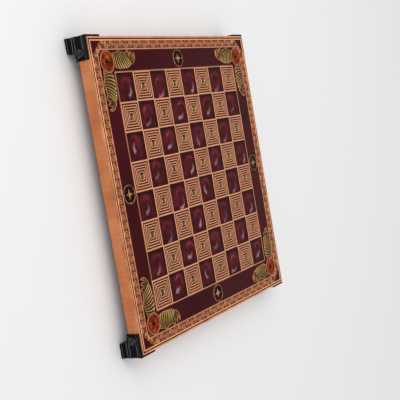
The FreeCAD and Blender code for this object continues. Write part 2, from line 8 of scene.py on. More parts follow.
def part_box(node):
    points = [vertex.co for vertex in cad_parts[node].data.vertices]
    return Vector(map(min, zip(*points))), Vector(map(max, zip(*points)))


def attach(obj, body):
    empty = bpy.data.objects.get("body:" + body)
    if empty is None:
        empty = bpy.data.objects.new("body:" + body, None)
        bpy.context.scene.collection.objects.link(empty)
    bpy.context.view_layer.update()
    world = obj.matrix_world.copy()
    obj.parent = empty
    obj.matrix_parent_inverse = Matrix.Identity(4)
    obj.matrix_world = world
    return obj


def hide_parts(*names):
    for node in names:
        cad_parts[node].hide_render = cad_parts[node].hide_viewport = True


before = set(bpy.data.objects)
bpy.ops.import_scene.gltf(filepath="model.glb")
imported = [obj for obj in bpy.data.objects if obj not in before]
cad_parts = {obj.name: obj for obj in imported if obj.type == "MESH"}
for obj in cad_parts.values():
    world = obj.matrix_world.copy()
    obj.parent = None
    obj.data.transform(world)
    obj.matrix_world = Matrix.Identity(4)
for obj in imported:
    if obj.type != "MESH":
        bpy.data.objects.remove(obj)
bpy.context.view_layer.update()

MM = 0.001

# Camera and studio: the board lies flat on a pale floor, and the camera looks at it from the left,
# rolled so that the far side is up in the picture. Two soft lamps stand on the camera's side and
# one hangs above, in a plainly lit room.
CAMERA_PLACE = (-1.1773, 0.0720, 0.7645)
CAMERA_RIGHT = (0.5096, -0.1688, 0.8437)
CAMERA_UP = (0.1546, 0.9826, 0.1032)
CAMERA_BACK = (-0.8464, 0.0778, 0.5268)
CAMERA_LENS = 80.72
SENSOR_WIDTH = 36.0
LAMPS = (
    ("key_lamp", (-1.3, 1.4, 1.5), 1.5, 13.0),
    ("fill_lamp", (-1.6, -0.9, 0.9), 2.0, 2.0),
    ("top_lamp", (0.3, 0.4, 2.0), 1.8, 6.0),
)
ROOM_LIGHT = 0.85
FLOOR_HALF = 6.0
FLOOR_COLOUR = (0.93, 0.93, 0.93, 1.0)


def stand(name, data):
    """Puts an object with the given camera, lamp or mesh into the scene."""
    thing = bpy.data.objects.new(name, data)
    bpy.context.scene.collection.objects.link(thing)
    return thing


def place_camera():
    data = bpy.data.cameras.new("camera")
    data.lens = CAMERA_LENS
    data.sensor_width = SENSOR_WIDTH
    camera = stand("camera", data)
    turn = Matrix((CAMERA_RIGHT, CAMERA_UP, CAMERA_BACK)).transposed().to_4x4()
    camera.matrix_world = Matrix.Translation(CAMERA_PLACE) @ turn
    bpy.context.scene.camera = camera


def place_lamp(name, place, size, power):
    data = bpy.data.lights.new(name, "AREA")
    data.shape = "DISK"
    data.size = size
    data.energy = power
    lamp = stand(name, data)
    lamp.location = place
    lamp.rotation_euler = Vector(place).to_track_quat("Z", "Y").to_euler()


def light_room():
    """Lights the room evenly. Camera, mirror and glass rays see plain white instead."""
    world = bpy.data.worlds.new("studio")
    world.use_nodes = True
    bpy.context.scene.world = world
    nodes = world.node_tree.nodes
    link = world.node_tree.links.new
    rays = nodes.new("ShaderNodeLightPath").outputs
    seen = rays["Is Camera Ray"]
    for name in ("Is Glossy Ray", "Is Transmission Ray"):
        either = nodes.new("ShaderNodeMath")
        either.operation = "MAXIMUM"
        link(seen, either.inputs[0])
        link(rays[name], either.inputs[1])
        seen = either.outputs[0]
    lit = nodes.new("ShaderNodeBackground")
    lit.inputs["Strength"].default_value = ROOM_LIGHT
    white = nodes.new("ShaderNodeBackground")
    white.inputs["Color"].default_value = (1.0, 1.0, 1.0, 1.0)
    mixed = nodes.new("ShaderNodeMixShader")
    for number, output in enumerate((seen, lit.outputs[0], white.outputs[0])):
        link(output, mixed.inputs[number])
    link(mixed.outputs[0], nodes["World Output"].inputs["Surface"])


place_camera()
for lamp in LAMPS:
    place_lamp(*lamp)
light_room()
bpy.context.scene.view_settings.view_transform = "Standard"
floor_mesh = bpy.data.meshes.new("floor")
floor_mesh.from_pydata(
    [(x * FLOOR_HALF, y * FLOOR_HALF, 0.0) for x, y in ((-1, -1), (1, -1), (1, 1), (-1, 1))],
    [],
    [(0, 1, 2, 3)],
)
floor_paint = bpy.data.materials.new("floor_paint")
floor_paint.use_nodes = True
floor_shader = floor_paint.node_tree.nodes["Principled BSDF"]
floor_shader.inputs["Base Color"].default_value = FLOOR_COLOUR
floor_shader.inputs["Roughness"].default_value = 0.9
floor_shader.inputs["Specular IOR Level"].default_value = 0.0
floor_mesh.materials.append(floor_paint)
floor = stand("floor", floor_mesh)


# Core board: a wooden panel, plain and unvarnished, that carries the plate above it. The strips
# hide its edges, so only its underside shows, between the felt and the strips' lips.
def feed(socket, value):
    """Sets a node's socket to a value, or links it to another node's output."""
    if isinstance(value, Value):
        value = value.socket
    if isinstance(value, bpy.types.NodeSocket):
        socket.id_data.links.new(value, socket)
    else:
        socket.default_value = value


def add_node(tree, kind, inputs=None, output=0, **settings):
    """Adds a node with its settings and inputs, and gives one of its outputs."""
    node = tree.nodes.new(kind)
    for name, value in settings.items():
        setattr(node, name, value)
    for name, value in (inputs or {}).items():
        feed(node.inputs[name], value)
    return Value(node.outputs[output])


class Value:
    """A node's output to reckon with. Each sum, spread, ramp or mix adds a node to its tree."""

    def __init__(self, socket):
        self.socket = socket

    def node(self, kind, *inputs, **settings):
        return add_node(self.socket.id_data, kind, dict(enumerate(inputs)), **settings)

    def maths(self, operation, *others):
        return self.node("ShaderNodeMath", self, *others, operation=operation)

    def __add__(self, other):
        return self.maths("ADD", other)

    def __sub__(self, other):
        return self.maths("SUBTRACT", other)

    def __mul__(self, other):
        return self.maths("MULTIPLY", other)

    def __truediv__(self, other):
        return self.maths("DIVIDE", other)

    def axes(self):
        """The three parts of a vector."""
        return [Value(part) for part in self.node("ShaderNodeSeparateXYZ", self).socket.node.outputs]

    def spread(self, low, high, to_low=0.0, to_high=1.0):
        """Maps the range from low to high smoothly onto another one."""
        ranges = (low, high, to_low, to_high)
        return self.node("ShaderNodeMapRange", self, *ranges, interpolation_type="SMOOTHSTEP")

    def stops(self, *stops):
        """A colour ramp through stops of a place and a linear colour."""
        ramp = self.node("ShaderNodeValToRGB", self)
        elements = ramp.socket.node.color_ramp.elements
        while len(elements) < len(stops):
            elements.new(0.5)
        for element, (place, colour) in zip(elements, stops):
            element.position = place
            element.color = (*colour, 1.0)
        return ramp

    def mix(self, *colours):
        """Goes from a first to a second colour as the value rises."""
        first, second = [colour if isinstance(colour, Value) else (*colour, 1.0) for colour in colours]
        inputs = {0: self, 6: first, 7: second}
        return add_node(self.socket.id_data, "ShaderNodeMix", inputs, output=2, data_type="RGBA")


class Finish:
    """A material whose nodes are added one by one, in object coordinates in metres."""

    def __init__(self, name):
        self.material = bpy.data.materials.new(name)
        self.material.use_nodes = True
        self.tree = self.material.node_tree
        self.place = add_node(self.tree, "ShaderNodeTexCoord", output="Object")

    def noise(self, per_metre, detail=2.0, roughness=0.5, vector=None, distortion=0.0):
        return add_node(self.tree, "ShaderNodeTexNoise", {
            "Vector": vector or self.place,
            "Scale": per_metre,
            "Detail": detail,
            "Roughness": roughness,
            "Distortion": distortion,
        })

    def finished(self, relief=None, depth=0.0, **looks):
        """Sets the shader's sockets and a fine relief of a depth, and gives the material."""
        if relief:
            looks["Normal"] = add_node(self.tree, "ShaderNodeBump", {"Height": relief, "Distance": depth})
        for name, value in looks.items():
            feed(self.tree.nodes["Principled BSDF"].inputs[name.replace("_", " ")], value)
        return self.material


def from_axes(tree, x=0.0, y=0.0, z=0.0):
    return add_node(tree, "ShaderNodeCombineXYZ", {0: x, 1: y, 2: z})


def dress(material, *nodes):
    """Gives CAD nodes their finish."""
    for node in nodes:
        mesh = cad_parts[node].data
        mesh.materials.clear()
        mesh.materials.append(material)


def core_wood():
    wood = Finish("core_wood")
    x, y, z = wood.place.axes()
    grain = wood.noise(1.0, 6.0, 0.6, from_axes(wood.tree, x * 9.0, y * 160.0, z * 60.0))
    colour = grain.stops((0.30, (0.26, 0.15, 0.075)), (0.70, (0.46, 0.30, 0.165)))
    return wood.finished(grain, 0.2 * MM, Base_Color=colour, Roughness=0.72)


dress(core_wood(), "core_board")


# Edge strips: four lengths of satin copper sheet folded round the core's edge and under it,
# mitred at the corners. Rolling left faint streaks across them, and handling a few dull clouds.
def strip_copper():
    copper = Finish("strip_copper")
    x, y, z = copper.place.axes()
    streaks = copper.noise(1.0, 3.0, 0.6, from_axes(copper.tree, (x + y) * 260.0, z * 25.0))
    tone = streaks * 0.35 + copper.noise(22.0, 3.0, 0.55) * 0.65
    colour = tone.stops(
        (0.25, (0.45, 0.150, 0.062)), (0.50, (0.62, 0.220, 0.092)), (0.75, (0.74, 0.310, 0.148))
    )
    rough = tone.spread(0.3, 0.7, 0.46, 0.34)
    return copper.finished(streaks, 0.05 * MM, Base_Color=colour, Roughness=rough, Metallic=1.0)


dress(strip_copper(), *[f"edge_strip_{side}" for side in ("right", "back", "left", "front")])


# Felt: black cloth glued under the core between the strips' lips, and a small square pad of
# thicker felt glued under each foot.
CORNERS = ("right_back", "left_back", "left_front", "right_front")


def black_felt():
    felt = Finish("black_felt")
    fibres = felt.noise(2600.0, 4.0, 0.7)
    clumps = felt.noise(240.0, 3.0, 0.6)
    colour = (fibres * clumps).stops((0.12, (0.006, 0.006, 0.007)), (0.45, (0.040, 0.040, 0.044)))
    return felt.finished(
        fibres, 0.25 * MM, Base_Color=colour, Roughness=0.95, Sheen_Weight=0.35, Sheen_Roughness=0.6
    )


dress(black_felt(), "base_felt", *[f"foot_pad_{corner}" for corner in CORNERS])


# Relief plate: one casting in red copper. Its rim is two beads with a groove between them, then
# come the scroll band's sunk ground and a thin bead, and the corner cells are sunk in the band.
PLATE_LOW, PLATE_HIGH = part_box("relief_plate")
PLATE = PLATE_HIGH.x
UNDER = PLATE_LOW.z
RIM_TOP = PLATE_HIGH.z
SQUARES = 8
SQUARE = 42.0 * MM
FIELD = SQUARES / 2 * SQUARE
LINE = FIELD + 1.6 * MM
LINE_LEDGE = 0.5 * MM
CHANNEL = LINE + 29.4 * MM
BEAD = CHANNEL + 2.0 * MM
BAND = BEAD + 10.6 * MM
RIM_INNER = 2.2 * MM
RIM_OUTER = 2.9 * MM
RIM_STEP = 0.3 * MM
FLOOR = UNDER + 1.4 * MM
FACE = FLOOR + 1.6 * MM
GROUND = FACE - 0.5 * MM
BEAD_TOP = FACE + 0.2 * MM
DISC = FIELD + 14.8 * MM
DISC_RADIUS = CHANNEL - DISC - 0.2 * MM
NOOK_GAP = 0.1 * MM
SCALLOP_LEG = 21.0 * MM
SCALLOP_END = 2.5 * MM
SCALLOP_BOW = 1.7 * MM


def stand_form(name, form):
    """Puts a bmesh into the scene as an object, with its faces turned outward."""
    bmesh.ops.recalc_face_normals(form, faces=form.faces)
    mesh = bpy.data.meshes.new(name)
    form.to_mesh(mesh)
    form.free()
    return stand(name, mesh)


def with_modifiers(thing):
    """The plain mesh that an object's modifiers make of it."""
    ready = bpy.context.evaluated_depsgraph_get()
    return bpy.data.meshes.new_from_object(thing.evaluated_get(ready))


def smooth(mesh, sharp_angle):
    mesh.shade_smooth()
    mesh.set_sharp_from_angle(angle=math.radians(sharp_angle))


def settle(piece, slot, *nodes):
    """Every piece rides on the board's one body and stands for the CAD nodes that it replaces."""
    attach(piece, "root")
    if nodes:
        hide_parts(*nodes)


def make_piece(name, form, material, slot, *nodes):
    """Turns a bmesh into a piece of the board."""
    piece = stand_form(name, form)
    smooth(piece.data, 35.0)
    piece.data.materials.append(material)
    settle(piece, slot, *nodes)


def bowed(start, end, bow, steps):
    """Points from start up to end on an arc that bows out to the right of its way."""
    start = Vector(start)
    end = Vector(end)
    if not bow:
        return [start]
    half = (end - start).length / 2
    radius = (half * half + bow * bow) / (2 * abs(bow))
    reach = 2 * math.asin(half / radius)
    way = (end - start).normalized()
    side = Vector((way.y, -way.x)) * math.copysign(1, bow)
    centre = (start + end) / 2 - side * (radius - abs(bow))
    angles = [reach * (step / steps - 0.5) for step in range(steps)]
    return [centre + (side * math.cos(angle) + way * math.sin(angle)) * radius for angle in angles]


def arch(start, end, rise, steps=10):
    """A bead's profile from start to end, half an ellipse high."""
    start = Vector(start)
    end = Vector(end)
    middle = (start + end) / 2
    reach = (end - start) / 2
    points = [start]
    for step in range(1, steps):
        angle = math.pi * step / steps
        points.append(middle - reach * math.cos(angle) + Vector((0, rise * math.sin(angle))))
    return points + [end]


def skin(form, rings, *caps):
    """Faces between each ring of vertices and the next, and over the rings that are caps too. A
    ring that is a point has its one vertex again and again."""
    for inner, outer in zip(rings, rings[1:]):
        for number in range(len(inner)):
            following = (number + 1) % len(inner)
            corners = (inner[number], inner[following], outer[following], outer[number])
            form.faces.new(list(dict.fromkeys(corners)))
    for ring in caps:
        form.faces.new(ring)


def square_rings(form, profile):
    """Nested squares of half sides and heights."""
    corners = ((1, 1), (-1, 1), (-1, -1), (1, -1))
    return [
        [form.verts.new((x * half, y * half, height)) for x, y in corners] for half, height in profile
    ]


def prism(form, points, low, high):
    """A closed solid on an outline of plane points."""
    rings = [[form.verts.new((x, y, height)) for x, y in points] for height in (low, high)]
    skin(form, rings, *rings)


def copy_form(form, matrix):
    """Copies everything in a form through a matrix."""
    copied = bmesh.ops.duplicate(form, geom=[*form.verts, *form.edges, *form.faces])["geom"]
    verts = [item for item in copied if isinstance(item, bmesh.types.BMVert)]
    bmesh.ops.transform(form, matrix=matrix, verts=verts)


def all_quarters(form):
    """Copies everything to the board's other three quarters."""
    for degrees in (90, 180):
        copy_form(form, Matrix.Rotation(math.radians(degrees), 4, "Z"))
    return form


def relief_copper(name, low, high, dark, middle, light):
    """Copper that is patinated brown in the hollows and rubbed bright on the tops; the brown in the
    hollows is painted shade as well. Beyond the band the hollows are darker still, as painted shade,
    and the beads brighter, as painted highlight."""
    copper = Finish(name)
    x, y, z = copper.place.axes()
    clouds = copper.noise(45.0, 4.0, 0.6)
    grain = copper.noise(900.0, 3.0, 0.6)
    outside = x.maths("ABSOLUTE").maths("MAXIMUM", y.maths("ABSOLUTE"))
    edge = outside.spread(PLATE - 0.5 * MM, PLATE - 0.1 * MM, 0.0, 0.85)
    height = z.spread(low, high).maths("MAXIMUM", edge)
    # Height makes the hollows dark, as patina and painted shade, and the tops bright.
    wear_and_shade = height + (clouds - 0.5) * 0.5 + (grain - 0.5) * 0.25
    tones = wear_and_shade.stops((0.22, dark), (0.62, middle), (0.98, light))
    # On the rim: a darker groove as painted shade and brighter beads as painted highlight.
    rim_tones = wear_and_shade.stops(
        (0.22, (0.045, 0.011, 0.003)), (0.70, (0.22, 0.062, 0.020)), (0.98, (0.82, 0.365, 0.185))
    )
    on_rim = outside.spread(BAND - 0.2 * MM, BAND + 0.2 * MM)
    return copper.finished(
        grain, 0.06 * MM,
        Base_Color=on_rim.mix(tones, rim_tones),
        Metallic=wear_and_shade.spread(0.1, 0.7, 0.20, 1.0),
        Roughness=wear_and_shade.spread(0.1, 0.9, 0.70, 0.34),
        Specular_IOR_Level=0.05,
    )


def scallops():
    """Outline of the right back corner's cell: its scalloped side, and then four corners."""
    leg = BAND - SCALLOP_LEG
    end = BAND - SCALLOP_END
    step = (end - leg) / 3
    points = []
    for number in range(3):
        start = Vector((leg + step * number, end - step * number))
        points += bowed(start, start + Vector((step, -step)), -SCALLOP_BOW, 12)
    return points + [(end, leg), (BAND, leg), (BAND, BAND), (leg, BAND)]


def make_plate_border():
    form = bmesh.new()
    profile = [(PLATE, UNDER)]
    profile += arch((PLATE, GROUND), (PLATE - RIM_OUTER, GROUND), RIM_TOP - RIM_STEP - GROUND)
    profile += arch((BAND + RIM_INNER, GROUND), (BAND, GROUND), RIM_TOP - GROUND)
    profile += arch((BEAD, GROUND), (CHANNEL, GROUND), BEAD_TOP - GROUND)
    profile += [(CHANNEL, FLOOR), (LINE, FLOOR), (LINE, GROUND)]
    profile += arch((LINE - LINE_LEDGE, GROUND), (FIELD, GROUND), FACE - GROUND) + [(FIELD, FLOOR)]
    rings = square_rings(form, profile)
    skin(form, rings, rings[0], rings[-1])
    blank = stand_form("plate_blank", form)

    form = bmesh.new()
    prism(form, scallops(), FLOOR, FACE + 0.5 * MM)
    cutters = stand_form("corner_cutters", all_quarters(form))
    cut = blank.modifiers.new("corner_cells", "BOOLEAN")
    cut.operation = "DIFFERENCE"
    cut.solver = "EXACT"
    cut.object = cutters
    form = bmesh.new()
    form.from_mesh(with_modifiers(blank))
    for leftover in (blank, cutters):
        bpy.data.objects.remove(leftover)
    return form


def add_nooks(form):
    """Raised copper between each corner disc and the channel's corner."""
    around = DISC_RADIUS + NOOK_GAP
    bow = around * (1 - math.sqrt(0.5))
    points = [(DISC + around, DISC), (CHANNEL, DISC), (CHANNEL, CHANNEL), (DISC, CHANNEL)]
    points += bowed((DISC, DISC + around), (DISC + around, DISC), -bow, 16)
    for quarter in range(4):
        turn = Matrix.Rotation(math.radians(90 * quarter), 2)
        prism(form, [turn @ Vector(point) for point in points], FLOOR, GROUND)
    return form


border_copper = relief_copper(
    "border_copper", GROUND - 0.1 * MM, BEAD_TOP,
    (0.150, 0.045, 0.015), (0.33, 0.106, 0.040), (0.62, 0.262, 0.138),
)
make_piece("plate_border", add_nooks(make_plate_border()), border_copper, "copper_relief", "relief_plate")


# Light squares: part of the same casting, each with four mitred grooves one inside the other round
# a small cell, so that bright ridges stand between dark hollows, whose brown is patina and painted
# shade. Two wedges reach into the cell.
# The wall round each dark square is cast with them.
GROOVES = 4
GROOVE_WIDTH = 2.8 * MM
GROOVE_DEPTH = 1.0 * MM
GROOVE_START = 2.9 * MM
GROOVE_END = 2.3 * MM
FLAT_SHARE = 0.30
GROOVE_SHARES = (1.00, 0.82, 0.65, 0.48, FLAT_SHARE, -FLAT_SHARE, -0.48, -0.65, -0.82, -1.00)
EDGE_BEVEL = 0.12 * MM
SIDE_STEPS = 7
WAVER = 0.18 * MM
CENTRE_CELL = 9.6 * MM
CELL_BEVEL = 0.25 * MM
CELL_DEPTH = 1.1 * MM
WEDGE_REACH = 1.4 * MM
WEDGE_ROOT = 3.4 * MM
WEDGE_CREST = 1.0 * MM
CELL_WALL = 1.2 * MM
WALL_BEVEL = 0.15 * MM


def ridge_profile():
    """Half sides and heights over the plate's floor, from the square's edge to its cell."""
    top = FACE - FLOOR
    edge = SQUARE / 2
    cell = CENTRE_CELL / 2
    outermost = edge - GROOVE_START
    pitch = (outermost - cell - GROOVE_END) / (GROOVES - 1)
    profile = [(edge, 0.0), (edge, top - EDGE_BEVEL), (edge - EDGE_BEVEL, top)]
    for groove in range(GROOVES):
        middle = outermost - pitch * groove
        for share in GROOVE_SHARES:
            drop = (1 - abs(share)) / (1 - FLAT_SHARE)
            depth = GROOVE_DEPTH * (0.5 - 0.5 * math.cos(math.pi * drop))
            profile.append((middle + GROOVE_WIDTH / 2 * share, top - depth))
    return profile + [(cell + CELL_BEVEL, top), (cell, top - CELL_BEVEL), (cell, top - CELL_DEPTH)]


def ridge_tile():
    """One light square, its sides divided so that they can waver."""
    form = bmesh.new()
    rings = []
    for half, height in ridge_profile():
        ring = []
        for quarter in range(4):
            turn = Matrix.Rotation(math.radians(90 * quarter), 3, "Z")
            for step in range(SIDE_STEPS):
                along = half * (2 * step / SIDE_STEPS - 1)
                ring.append(form.verts.new(turn @ Vector((half, along, height))))
        rings.append(ring)
    skin(form, rings, rings[0], rings[-1])
    root = CENTRE_CELL / 2 + 0.1 * MM
    crest = CENTRE_CELL / 2 - WEDGE_REACH
    wedge = ((root, -WEDGE_ROOT), (crest, -WEDGE_CREST), (crest, WEDGE_CREST), (root, WEDGE_ROOT))
    for side in (-1, 1):
        prism(form, [(side * x, y) for x, y in wedge], 0.4 * MM, FACE - FLOOR - 0.1 * MM)
    return form


def cell_frame():
    """The thin wall inside the edge of one dark square."""
    form = bmesh.new()
    top = FACE - FLOOR
    edge = SQUARE / 2
    inner = edge - CELL_WALL / 2
    rings = square_rings(form, [
        (edge, 0.0), (edge, top), (inner + WALL_BEVEL, top), (inner, top - WALL_BEVEL), (inner, 0.0),
    ])
    skin(form, rings + rings[:1])
    return form


def new_tree(name, **inputs):
    """A geometry tree with a shape coming in and going out, and the named inputs that it is given."""
    tree = bpy.data.node_groups.new(name, "GeometryNodeTree")
    sockets = [("shape", "INPUT", "Geometry")]
    sockets += [(label, "INPUT", kind) for label, kind in inputs.items()]
    sockets += [("shape", "OUTPUT", "Geometry")]
    for label, way, kind in sockets:
        tree.interface.new_socket(name=label, in_out=way, socket_type=f"NodeSocket{kind}")
    given = tree.nodes.new("NodeGroupInput").outputs
    return tree, {socket.name: Value(socket) for socket in given}


def close_tree(tree, shape, material):
    """Ends a tree: instances become real mesh, and the mesh takes its finish."""
    real = add_node(tree, "GeometryNodeRealizeInstances", {0: shape})
    coated = add_node(tree, "GeometryNodeSetMaterial", {0: real, "Material": material})
    feed(tree.nodes.new("NodeGroupOutput").inputs[0], coated)
    return tree


def chequer_tree():
    """Stands the shape on every second square of the field and wavers it a little."""
    tree, given = new_tree(
        "chequer", square="Float", odd_squares="Int", height="Float", waver="Float", finish="Material"
    )
    span = given["square"] * (SQUARES - 1)
    grid = add_node(tree, "GeometryNodeMeshGrid", {
        "Size X": span, "Size Y": span, "Vertices X": SQUARES, "Vertices Y": SQUARES,
    })
    index = add_node(tree, "GeometryNodeInputIndex")
    column = ((index + 0.5) / SQUARES).maths("FLOOR")
    colour = (index + column + given["odd_squares"] + 0.5).maths("MODULO", 2.0)
    chosen = colour.node("FunctionNodeCompare", colour, 1.0, data_type="FLOAT", operation="LESS_THAN")
    placed = add_node(tree, "GeometryNodeInstanceOnPoints", {
        "Points": grid, "Selection": chosen, "Instance": given["shape"],
    })
    real = add_node(tree, "GeometryNodeRealizeInstances", {0: placed})
    position = add_node(tree, "GeometryNodeInputPosition")
    noise = add_node(tree, "ShaderNodeTexNoise", {"Vector": position, "Scale": 420.0, "Detail": 2.0}, 1)
    away = noise.node("ShaderNodeVectorMath", noise, (0.5, 0.5, 0.5), operation="SUBTRACT")
    scaled = add_node(tree, "ShaderNodeVectorMath", {0: away, "Scale": given["waver"]}, operation="SCALE")
    moved = scaled.node("ShaderNodeVectorMath", scaled, from_axes(tree, z=given["height"]))
    wavy = add_node(tree, "GeometryNodeSetPosition", {0: real, "Offset": moved})
    return close_tree(tree, wavy, given["finish"])


def grow(name, form, tree, slot, node, **inputs):
    """Runs a geometry tree on a shape and keeps the result as a plain piece of the board."""
    piece = stand_form(name, form)
    modifier = piece.modifiers.new("tree", "NODES")
    modifier.node_group = tree
    for item in tree.interface.items_tree:
        if item.in_out == "INPUT" and item.name in inputs:
            modifier[item.identifier] = inputs[item.name]
    shape = with_modifiers(piece)
    piece.modifiers.clear()
    piece.data = shape
    smooth(shape, 50.0)
    settle(piece, slot, node)


# Dark hollows between the ridges: patina and painted shade.
ridge_copper = relief_copper(
    "ridge_copper", FACE - 0.46 * MM, FACE - 0.06 * MM,
    (0.085, 0.022, 0.007), (0.28, 0.084, 0.030), (0.68, 0.300, 0.166),
)
chequer = chequer_tree()
grow(
    "light_squares", ridge_tile(), chequer, "copper_relief", "relief_plate",
    square=SQUARE, odd_squares=0, height=FLOOR, waver=WAVER, finish=ridge_copper,
)
grow(
    "square_walls", cell_frame(), chequer, "copper_relief", "relief_plate",
    square=SQUARE, odd_squares=1, height=FLOOR, waver=0.0, finish=ridge_copper,
)


# Running scroll: a vine cast in the band, a wave with a curl and an eye in every hollow. It runs
# along all four sides and stops at the corner cells.
SCROLL_PITCH = 23.0 * MM
SCROLL_COUNT = 16
SCROLL_WAVE = 4.2 * MM
VINE_RADIUS = 0.6 * MM
VINE_STEPS = 28
CURL_RADIUS = 4.4 * MM
CURL_SHIFT = 0.9 * MM
CURL_STEM = 1.1 * MM
EYE_RADIUS = 0.9 * MM
EYE_HEIGHT = 1.0 * MM
STEM_RADIUS = 0.85 * MM
SINK = 0.1 * MM


def half_round(form, path, radii, base, flat=1.0, sides=4):
    """A strip of half-round section along plane points, its foot sunk under the base."""
    path = [Vector(point) for point in path]
    if not isinstance(radii, list):
        radii = [radii] * len(path)
    rings = []
    for point, before, after, radius in zip(path, path[:1] + path, path[1:] + path[-1:], radii):
        way = (after - before).normalized()
        side = Vector((-way.y, way.x)) * radius
        ring = []
        for step in range(sides + 1):
            angle = math.pi * step / sides
            height = base + flat * radius * math.sin(angle) - SINK
            ring.append(form.verts.new((*(point + side * math.cos(angle)), height)))
        rings.append(ring)
    skin(form, rings, rings[0], rings[-1])


def circle(form, x, y, radius, height, around):
    """A ring of vertices, or one vertex again and again where the radius is nothing."""
    if radius < 1e-9:
        return [form.verts.new((x, y, height))] * around
    angles = [2 * math.pi * step / around for step in range(around)]
    return [
        form.verts.new((x + radius * math.cos(angle), y + radius * math.sin(angle), height))
        for angle in angles
    ]


def dome(form, x, y, radius, base, height, around=8, rings=3):
    """A low round boss, closed below, its foot sunk under the base."""
    angles = [math.pi / 2 * ring / rings for ring in range(rings + 1)]
    loops = [
        circle(form, x, y, radius * math.cos(angle), base - SINK + height * math.sin(angle), around)
        for angle in angles
    ]
    skin(form, loops, loops[0])


def curl(centre, radius, start_turn, turns, hand, steps=24, end_share=0.2, stem=STEM_RADIUS):
    """Plane points of a spiral that winds in, and its tapering radii."""
    points = []
    shares = [step / steps for step in range(steps + 1)]
    for share in shares:
        angle = start_turn + hand * 2 * math.pi * turns * share
        reach = radius * (1 - (1 - end_share) * share)
        points.append((centre[0] + reach * math.cos(angle), centre[1] + reach * math.sin(angle)))
    return points, [stem * (0.95 - 0.4 * share) for share in shares]


def scroll_unit():
    """One period of the vine, along X from zero."""
    form = bmesh.new()
    shares = [step / VINE_STEPS for step in range(VINE_STEPS + 1)]
    vine = [(SCROLL_PITCH * share, SCROLL_WAVE * math.sin(2 * math.pi * share)) for share in shares]
    half_round(form, vine, VINE_RADIUS, 0.0)
    for share, hand in ((0.25, 1), (0.75, -1)):
        centre = (SCROLL_PITCH * share, -hand * CURL_SHIFT)
        points, radii = curl(centre, CURL_RADIUS, 0.4 * hand, 1.4, -hand, stem=CURL_STEM)
        half_round(form, points, radii, 0.0, sides=3)
        dome(form, *centre, EYE_RADIUS, 0.0, EYE_HEIGHT, around=6, rings=2)
    return form


def scroll_tree():
    """A row of units along one side of the band, on all four sides."""
    tree, given = new_tree(
        "running_scroll", pitch="Float", count="Int", band="Float", height="Float", finish="Material"
    )
    row = add_node(tree, "GeometryNodeMeshLine", {
        "Count": given["count"],
        "Start Location": from_axes(
            tree, given["pitch"] * given["count"] * -0.5, given["band"], given["height"]
        ),
        "Offset": from_axes(tree, given["pitch"]),
    })
    units = add_node(tree, "GeometryNodeInstanceOnPoints", {"Points": row, "Instance": given["shape"]})
    sides = add_node(tree, "GeometryNodeMeshLine", {"Count": 4, "Offset": (0.0, 0.0, 0.0)})
    turn = from_axes(tree, z=add_node(tree, "GeometryNodeInputIndex") * (math.pi / 2))
    ring = add_node(tree, "GeometryNodeInstanceOnPoints", {
        "Points": sides, "Instance": units, "Rotation": turn.node("FunctionNodeEulerToRotation", turn),
    })
    return close_tree(tree, ring, given["finish"])


grow(
    "running_scroll", scroll_unit(), scroll_tree(), "copper_relief", "relief_plate",
    pitch=SCROLL_PITCH, count=SCROLL_COUNT, band=(BEAD + BAND) / 2, height=GROUND, finish=border_copper,
)


# Corner scrolls: cast curls with berries in the copper between each disc and the scalloped corner
# cell, and a bead along the cell's scallops. Each curl has its place along and across the corner's
# diagonal, its radius and its hand.
CORNER_CURLS = (
    (-20.6, 0.0, 2.5, 1), (-20.2, 8.2, 2.7, -1), (-20.2, -8.2, 2.7, 1), (-20.0, 16.6, 2.9, 1),
    (-20.0, -16.6, 2.9, -1), (-25.0, 21.5, 2.2, -1), (-25.0, -21.5, 2.2, 1),
)
BERRY_RADIUS = 0.95 * MM
BERRY_HEIGHT = 0.9 * MM


def corner_scrolls():
    form = bmesh.new()
    diagonal = Vector((1, 1)).normalized()
    across = Vector((1, -1)).normalized()
    for place, side, radius, hand in CORNER_CURLS:
        centre = Vector((BAND, BAND)) + (diagonal * place + across * side) * MM
        points, radii = curl(centre, radius * MM, math.pi / 4 + hand * 1.2, 1.5, -hand, end_share=0.28)
        half_round(form, points, radii, GROUND)
        dome(form, *centre, BERRY_RADIUS, GROUND, BERRY_HEIGHT)
    half_round(form, scallops()[:-4], VINE_RADIUS, GROUND)
    return all_quarters(form)


make_piece("corner_curls", corner_scrolls(), border_copper, "copper_relief", "relief_plate")


# Dark squares: maroon enamel poured into the cells, brushed while wet with a mother-of-pearl
# white, so that each has a reddish arc over a pale stroke. It creeps up a little at the walls.
ENAMEL_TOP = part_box("enamel_rank_1")[1].z
ENAMEL_GAP = 0.05 * MM
ENAMEL_HALF = (SQUARE - CELL_WALL) / 2 - ENAMEL_GAP
ENAMEL_SAG = 0.04 * MM
ENAMEL_CREEP = 0.12 * MM
POUR_STEPS = 10


def square_shares(finish):
    """For X and Y, the number of the square that a point is in, and its share of the way across."""
    counted = [(value + FIELD) / SQUARE for value in finish.place.axes()[:2]]
    cells = [value.maths("FLOOR") for value in counted]
    return cells, [value - cell for value, cell in zip(counted, cells)]


